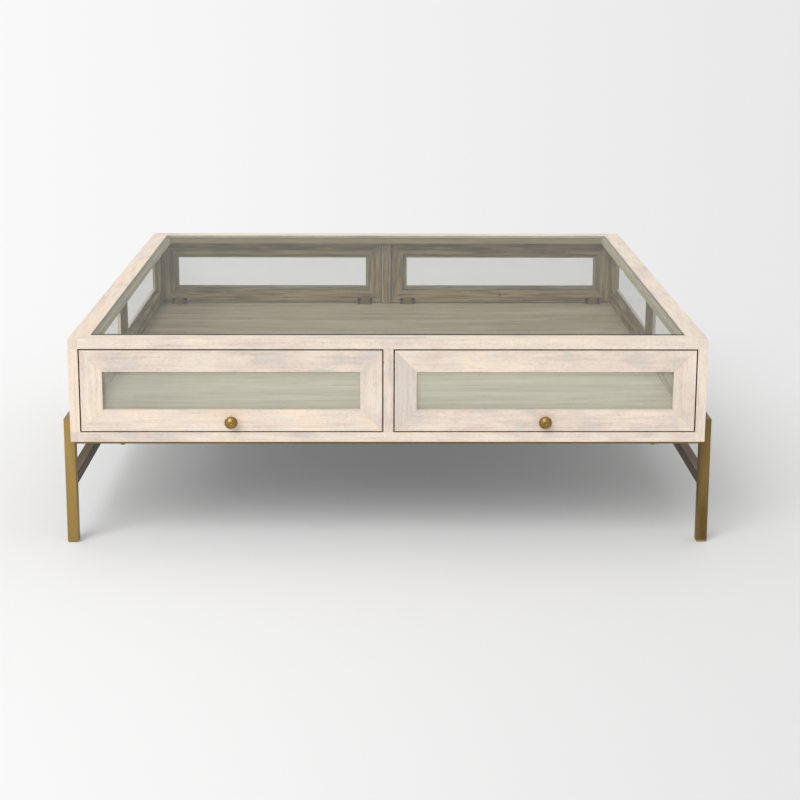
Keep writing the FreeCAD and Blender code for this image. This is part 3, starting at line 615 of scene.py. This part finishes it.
class DoorFrames(bpy.types.Operator):
    """Dresses the stiles and rails of the four doors"""

    bl_idname = "table.door_frames"
    bl_label = "Door frames"

    # Warmth of the left stile, right stile, top rail and bottom rail of each door.
    warmth = {
        "front_left_door": (0.2, -0.1, -0.5, 0.8),
        "front_right_door": (-2.0, 0.2, 0.0, -0.4),
        "back_left_door": (0.2, -0.3, 0.1, 0.3),
        "back_right_door": (0.0, 0.2, -0.2, 0.2),
    }
    # The lip on the outer edge of a stile: how far it reaches into the gap, its thickness, and its distance
    # from the inner face and from the ends.
    lip_reach = 0.002
    lip_thickness = 0.004
    lip_inset = 0.001
    lip_end = 0.002

    def add_lip(self, mesh, stile, core):
        """Adds the narrow lip that keeps light from shining through the gap beside the door."""
        low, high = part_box(stile)
        middle = middle_of(stile)
        side = math.copysign(1, middle.x - core.x)
        out = math.copysign(1, middle.y)
        edge = high.x if side > 0 else low.x
        inner = low.y if out > 0 else high.y
        place = Vector((
            edge + side * self.lip_reach / 2,
            inner + out * (self.lip_inset + self.lip_thickness / 2),
            middle.z,
        ))
        spread = (self.lip_reach, self.lip_thickness, high.z - low.z - 2 * self.lip_end, 1)
        lay = Matrix.Translation(place) @ Matrix.Diagonal(spread)
        made = bmesh.ops.create_cube(mesh, size=1, matrix=lay)
        # The lip takes slot 2 too: brown with painted shade, as down in the gap.
        for face in {face for vert in made["verts"] for face in vert.link_faces}:
            face.material_index = 2

    def execute(self, context):
        members = (("left_stile", "Z"), ("right_stile", "Z"), ("top_rail", "X"), ("bottom_rail", "X"))
        for number, door in enumerate(DOORS):
            core = middle_of(f"{door}_pane")
            for part, (member, along) in enumerate(members):
                name = f"{door}_{member}"
                wood = washed_wood(
                    f"washed {name.replace('_', ' ')}", along, 20 + 4 * number + part, self.warmth[door][part]
                )
                mesh = merged_copy(name)
                sort_faces(mesh, core)
                if member.endswith("stile"):
                    self.add_lip(mesh, name, core)
                materials = [wood, inside_wood(along), shaded_gap_edge(along)]
                piece = finished(mesh, f"eased_{name}", door, [name], materials)
                ease(piece, context.scene.washed_wood.eased_edge)
        return {"FINISHED"}


class TopGlass(bpy.types.Operator):
    """Lays the glass top with its polished edge"""

    bl_idname = "table.top_glass"
    bl_label = "Top glass"

    def execute(self, context):
        glass = context.scene.clear_glass
        mesh = merged_copy("top_glass")
        low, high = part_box("top_glass")
        band = glass.edge_shade_band
        for corner, out in ((low, (-1, 0, 0)), (low, (0, -1, 0)), (high, (1, 0, 0)), (high, (0, 0, 1))):
            place = corner - band * Vector(out)
            everything = [*mesh.verts, *mesh.edges, *mesh.faces]
            bmesh.ops.bisect_plane(mesh, geom=everything, dist=SAME_POINT, plane_co=place, plane_no=out)
        for face in mesh.faces:
            # The back edge shows the pale ledge behind it. The other three get a painted dark line near the
            # top face, for the look of the edge through the glass.
            middle = face.calc_center_median()
            rim = abs(middle.x) > high.x - band or middle.y < low.y + band
            face.material_index = 1 if rim and middle.z > high.z - band else 0
        finished(
            mesh, "polished_top_glass", "table", ["top_glass"],
            [clear_glass("top glass", glass.body, glass.top_density), shaded_glass_edge("top glass edge shade")],
        )
        return {"FINISHED"}


class Panes(bpy.types.Operator):
    """Gives the panes of the doors and sides clear glass"""

    bl_idname = "table.panes"
    bl_label = "Panes"

    def execute(self, context):
        glass = context.scene.clear_glass
        # The pale colour of the panes is a painted sheen.
        sheened_glass = clear_glass("pane glass", glass.pane_sheen, glass.pane_density)
        for name in ("left_side_panes", "right_side_panes", *(f"{door}_pane" for door in DOORS)):
            repaint(name, sheened_glass)
        return {"FINISHED"}


class Knobs(bpy.types.Operator):
    """Turns the four door knobs"""

    bl_idname = "table.knobs"
    bl_label = "Knobs"

    # Radius and height above the door, in millimetres, from the foot to the dimple in the crown.
    profile = (
        (0, 0), (6.5, 0), (7, 0.5), (7, 2.3), (6.3, 3), (5, 3.4), (4.5, 4.4), (4.5, 6.6), (5, 8.6),
        (6.6, 10.6), (9.2, 12.6), (11.2, 14), (12, 15.1), (12, 16), (11.5, 16.7), (10.8, 16.9),
        (10.3, 16.7), (10, 17), (9.4, 17.9), (8.2, 19.1), (6.6, 20.3), (4.8, 21.3), (3.2, 21.9),
        (2.5, 21.9), (2.1, 21.6), (1.5, 21.1), (0.7, 20.9), (0, 20.9),
    )

    def execute(self, context):
        brass = aged_brass("knob brass", "Z", 41, 0.56, (0.03, 0.03))
        profile = [(radius / 1000, height / 1000) for radius, height in self.profile]
        for door in DOORS:
            low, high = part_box(f"{door}_knob")
            out = Vector((0, -1, 0)) if door.startswith("front") else Vector((0, 1, 0))
            middle = middle_of(f"{door}_knob")
            place = Vector((middle.x, high.y if out.y < 0 else low.y, middle.z))
            mesh = bmesh.new()
            turned(mesh, profile, place, out, context.scene.aged_brass.turned_steps)
            bmesh.ops.remove_doubles(mesh, verts=mesh.verts, dist=SAME_POINT)
            bmesh.ops.recalc_face_normals(mesh, faces=mesh.faces)
            finished(mesh, f"turned_{door}_knob", door, [f"{door}_knob"], [brass], smooth=True)
        return {"FINISHED"}


class Base(bpy.types.Operator):
    """Gives the legs and rails of the base their aged brass"""

    bl_idname = "table.base"
    bl_label = "Base"

    # Brushing direction, pattern number and wear of each tube. The wear also holds painted shade: the right
    # legs are darker than the left ones and the lower rails darkest, where less light falls.
    tubes = {
        "leg_front_left": ("Z", 51, 0.53), "leg_front_right": ("Z", 52, 0.35),
        "leg_back_left": ("Z", 53, 0.45), "leg_back_right": ("Z", 54, 0.4),
        "upper_rail_left": ("Y", 55, 0.4), "upper_rail_right": ("Y", 56, 0.36),
        "lower_rail_left": ("Y", 57, 0.1), "lower_rail_right": ("Y", 58, 0.1),
        "cross_rail_front": ("X", 59, 0.38), "cross_rail_back": ("X", 60, 0.38),
    }

    def execute(self, context):
        for name, (along, seed, wear_and_shade) in self.tubes.items():
            repaint(name, aged_brass(f"brass {name.replace('_', ' ')}", along, seed, wear_and_shade))
        return {"FINISHED"}


class Catches(bpy.types.Operator):
    """Moulds the magnetic catches and cuts the recesses of their screws"""

    bl_idname = "table.catches"
    bl_label = "Catches"

    # Middle of a catch from the end of its door, and where an ear starts from there and how high it may be.
    inset = 0.042
    ear_start = 0.0103
    ear_top = 0.0035
    # The magnet sits back in the face towards the door, with a border round it.
    magnet_start = 0.004
    border = 0.0025
    recess = 0.0008
    eased_edge = 0.0004
    # The largest area of a screw head's flat top.
    head_area = 0.00004

    def execute(self, context):
        # The catches of the back doors stand at the same places across as those of the front ones.
        middles = []
        for door in DOORS[:2]:
            low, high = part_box(f"{door}_bottom_rail")
            middles += [low.x + self.inset, high.x - self.inset]
        mesh = merged_copy("magnetic_catches")
        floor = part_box("floor_board")[1].z
        tall = []
        for face in mesh.faces:
            middle = face.calc_center_median()
            aside = min(abs(middle.x - place) for place in middles)
            is_ear = aside > self.ear_start and middle.z < floor + self.ear_top
            face.material_index = 1 if is_ear else 0
            faces_door = abs(face.normal.y) > 0.9 and face.normal.y * middle.y > 0
            if faces_door and not is_ear and middle.z > floor + self.magnet_start:
                tall.append(face)
        bmesh.ops.inset_individual(mesh, faces=tall, thickness=self.border, depth=-self.recess)
        for face in tall:
            face.material_index = 2
        dark = plain_steel("magnet steel", (0.09, 0.085, 0.08), 77)
        housing = moulded_plastic("catch plastic", shade(134, 108, 64), 71)
        # The ears are near black: painted shade round the ears and their screws.
        shaded_ears = moulded_plastic("catch ears shade", shade(42, 34, 24), 76)
        piece = finished(
            mesh, "moulded_magnetic_catches", "table", ["magnetic_catches"],
            [housing, shaded_ears, dark],
        )
        ease(piece, self.eased_edge)
        screws = merged_copy("catch_screws")
        press_crosses(screws, Vector((0, 0, 1)), self.head_area)
        finished(
            screws, "recessed_catch_screws", "table", ["catch_screws"],
            [plain_steel("screw steel", (0.05, 0.047, 0.043), 73)],
        )
        return {"FINISHED"}


class Fittings(bpy.types.Operator):
    """Finishes the strike plates, knob screws, bolts, pins and foot glides"""

    bl_idname = "table.fittings"
    bl_label = "Fittings"

    # The largest area of a screw head's flat top.
    head_area = 0.00006

    def execute(self, context):
        repaint("foot_glides", moulded_plastic("glide plastic", shade(150, 126, 78), 72))
        dark = plain_steel("dark steel", (0.05, 0.047, 0.043), 78)
        bronze = plain_steel("bronzed screw", (0.30, 0.25, 0.18), 75)
        repaint("door_pivot_pins", dark)
        for door in DOORS:
            low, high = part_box(f"{door}_knob")
            mesh = merged_copy(f"{door}_fittings")
            inwards = Vector((0, 1 if door.startswith("front") else -1, 0))
            press_crosses(mesh, inwards, self.head_area)
            for face in mesh.faces:
                middle = face.calc_center_median()
                face.material_index = 1 if low.x < middle.x < high.x and low.z < middle.z < high.z else 0
            finished(
                mesh, f"fitted_{door}_plates", door, [f"{door}_fittings"],
                [dark, bronze], smooth=True,
            )
        repaint("base_bolts", aged_brass("brass bolts", "Z", 74, 0.4))
        return {"FINISHED"}


class Studio(bpy.types.Operator):
    """Sets the ground, the light and the camera"""

    bl_idname = "table.studio"
    bl_label = "Studio"

    # How far the ground reaches from its middle, and where the holder of the soft light stands.
    ground_reach = 120
    light_stand = (-2, -3, 4)

    def execute(self, context):
        studio = context.scene.studio_light
        self.lay_ground(studio)
        self.light(context, studio)
        self.place_camera(context)
        context.scene.view_settings.view_transform = "Standard"
        return {"FINISHED"}

    def seen(self, tree):
        """1 for what the camera sees, straight or by way of metal and glass, and 0 for the light itself."""
        path = node(tree, "ShaderNodeLightPath", {})
        both = node(
            tree, "ShaderNodeMath",
            {0: path.outputs["Is Camera Ray"], 1: path.outputs["Is Glossy Ray"]}, operation="MAXIMUM",
        )
        return node(
            tree, "ShaderNodeMath",
            {0: both.outputs[0], 1: path.outputs["Is Transmission Ray"]}, operation="MAXIMUM",
        ).outputs[0]

    def fall_off(self, tree, place, studio, least):
        """0 on the left, 1 on the right, fanning out from the stand: how dark the ground or backdrop is, a
        painted fall-off of the light.
        """
        across = node(tree, "ShaderNodeSeparateXYZ", {"Vector": place})
        ahead = node(tree, "ShaderNodeMath", {0: across.outputs["Y"], 1: least}, operation="MAXIMUM")
        aside = node(
            tree, "ShaderNodeMath", {0: across.outputs["X"], 1: ahead.outputs[0]}, operation="DIVIDE"
        )
        edge = studio.fan_width * SENSOR / 2 / LENS
        return node(
            tree, "ShaderNodeMapRange", {"Value": aside.outputs[0], "From Min": -edge, "From Max": edge},
            interpolation_type="SMOOTHSTEP",
        ).outputs["Result"]

    def faded(self, tree, part, tint, strength):
        """A colour that is lighter on the left and darker on the right: painted fall-off of the light."""
        left, right = (tuple(level * (1 + side * strength / 2) for level in tint) for side in (1, -1))
        return node(
            tree, "ShaderNodeMix", {0: part, 6: (*left, 1), 7: (*right, 1)}, data_type="RGBA"
        ).outputs[2]

    def lay_ground(self, studio):
        """Lays the wide matt ground."""
        mesh = bmesh.new()
        bmesh.ops.create_grid(mesh, x_segments=8, y_segments=8, size=self.ground_reach)
        data = bpy.data.meshes.new("ground")
        mesh.to_mesh(data)
        mesh.free()
        material = bpy.data.materials.new("ground")
        material.use_nodes = True
        tree = material.node_tree
        tree.nodes.clear()
        place = node(tree, "ShaderNodeTexCoord", {}).outputs["Object"]
        from_stand = node(tree, "ShaderNodeMapping", {"Vector": place, "Location": (0, -STAND.y, 0)})
        part = self.fall_off(tree, from_stand.outputs["Vector"], studio, least=studio.fan_start)
        wash = self.faded(tree, part, studio.ground, studio.ground_fade)
        matt = node(tree, "ShaderNodeBsdfDiffuse", {"Color": wash})
        strength = node(tree, "ShaderNodeMath", {0: self.seen(tree), 1: studio.glow}, operation="MULTIPLY")
        glow = node(tree, "ShaderNodeEmission", {"Color": (1, 1, 1, 1), "Strength": strength.outputs[0]})
        both = node(tree, "ShaderNodeAddShader", {0: matt.outputs[0], 1: glow.outputs[0]})
        node(tree, "ShaderNodeOutputMaterial", {"Surface": both.outputs[0]})
        data.materials.append(material)
        ground = bpy.data.objects.new("ground", data)
        bpy.context.scene.collection.objects.link(ground)

    def light(self, context, studio):
        """Sets the light from all round, the backdrop and the soft light from the front."""
        world = bpy.data.worlds.new("studio")
        context.scene.world = world
        world.use_nodes = True
        tree = world.node_tree
        tree.nodes.clear()
        direction = node(tree, "ShaderNodeTexCoord", {}).outputs["Object"]
        height = node(tree, "ShaderNodeSeparateXYZ", {"Vector": direction}).outputs["Z"]
        strength = span(tree, height, low=studio.horizon, high=studio.overhead, start=0, end=1)
        sky = node(tree, "ShaderNodeBackground", {"Color": (1, 1, 1, 1), "Strength": strength})
        part = self.fall_off(tree, direction, studio, least=0.01)
        pale = self.faded(tree, part, studio.backdrop, studio.backdrop_fade)
        backdrop = node(tree, "ShaderNodeBackground", {"Color": pale, "Strength": 1.0})
        mix = node(
            tree, "ShaderNodeMixShader", {0: self.seen(tree), 1: sky.outputs[0], 2: backdrop.outputs[0]}
        )
        node(tree, "ShaderNodeOutputWorld", {"Surface": mix.outputs[0]})
        lamp = bpy.data.lights.new("soft front light", "SUN")
        lamp.energy = studio.key
        lamp.angle = studio.key_spread
        holder = bpy.data.objects.new("soft front light", lamp)
        level = math.cos(studio.key_height)
        towards = Vector((
            math.sin(studio.key_side) * level,
            math.cos(studio.key_side) * level,
            -math.sin(studio.key_height),
        ))
        holder.rotation_mode = "QUATERNION"
        holder.rotation_quaternion = towards.to_track_quat("-Z", "Y")
        holder.location = self.light_stand
        context.scene.collection.objects.link(holder)

    def place_camera(self, context):
        """Stands the camera in front of the table, turned down towards it."""
        camera = bpy.data.cameras.new("camera")
        camera.lens = LENS
        camera.sensor_width = SENSOR
        camera.shift_y = SHIFT
        holder = bpy.data.objects.new("camera", camera)
        yaw, pitch, roll = (math.radians(angle) for angle in (YAW, PITCH, ROLL))
        ahead = Vector((math.sin(yaw) * math.cos(pitch), math.cos(yaw) * math.cos(pitch), -math.sin(pitch)))
        right = Vector((math.cos(yaw), -math.sin(yaw), 0))
        top = right.cross(ahead)
        leaned = right * math.cos(roll) + top * math.sin(roll)
        upright = top * math.cos(roll) - right * math.sin(roll)
        turn = Matrix((leaned, upright, -ahead)).transposed().to_4x4()
        holder.matrix_world = Matrix.Translation(STAND) @ turn
        context.scene.collection.objects.link(holder)
        context.scene.camera = holder


class TablePanel(bpy.types.Panel):
    """Lists the pieces of the table in the order they are made"""

    bl_idname = "VIEW3D_PT_coffee_table"
    bl_label = "Coffee table"
    bl_space_type = "VIEW_3D"
    bl_region_type = "UI"
    bl_category = "Coffee table"

    def draw(self, context):
        for group in GROUPS:
            settings = getattr(context.scene, group)
            for key in settings.__annotations__:
                self.layout.prop(settings, key)
        for step in STEPS:
            self.layout.operator(step.bl_idname)


GROUPS = {
    "washed_wood": WashedWood,
    "clear_glass": ClearGlass,
    "aged_brass": AgedBrass,
    "studio_light": StudioLight,
}
STEPS = (WoodenCase, DoorFrames, TopGlass, Panes, Knobs, Base, Catches, Fittings, Studio)


def register():
    for cls in (*GROUPS.values(), *STEPS, TablePanel):
        bpy.utils.register_class(cls)
    for name, cls in GROUPS.items():
        setattr(bpy.types.Scene, name, PointerProperty(type=cls))


def unregister():
    for name in GROUPS:
        delattr(bpy.types.Scene, name)
    for cls in reversed((*GROUPS.values(), *STEPS, TablePanel)):
        bpy.utils.unregister_class(cls)


def main():
    register()
    bpy.ops.table.wooden_case()
    bpy.ops.table.door_frames()
    bpy.ops.table.top_glass()
    bpy.ops.table.panes()
    bpy.ops.table.knobs()
    bpy.ops.table.base()
    bpy.ops.table.catches()
    bpy.ops.table.fittings()
    bpy.ops.table.studio()


if __name__ == "__main__":
    main()
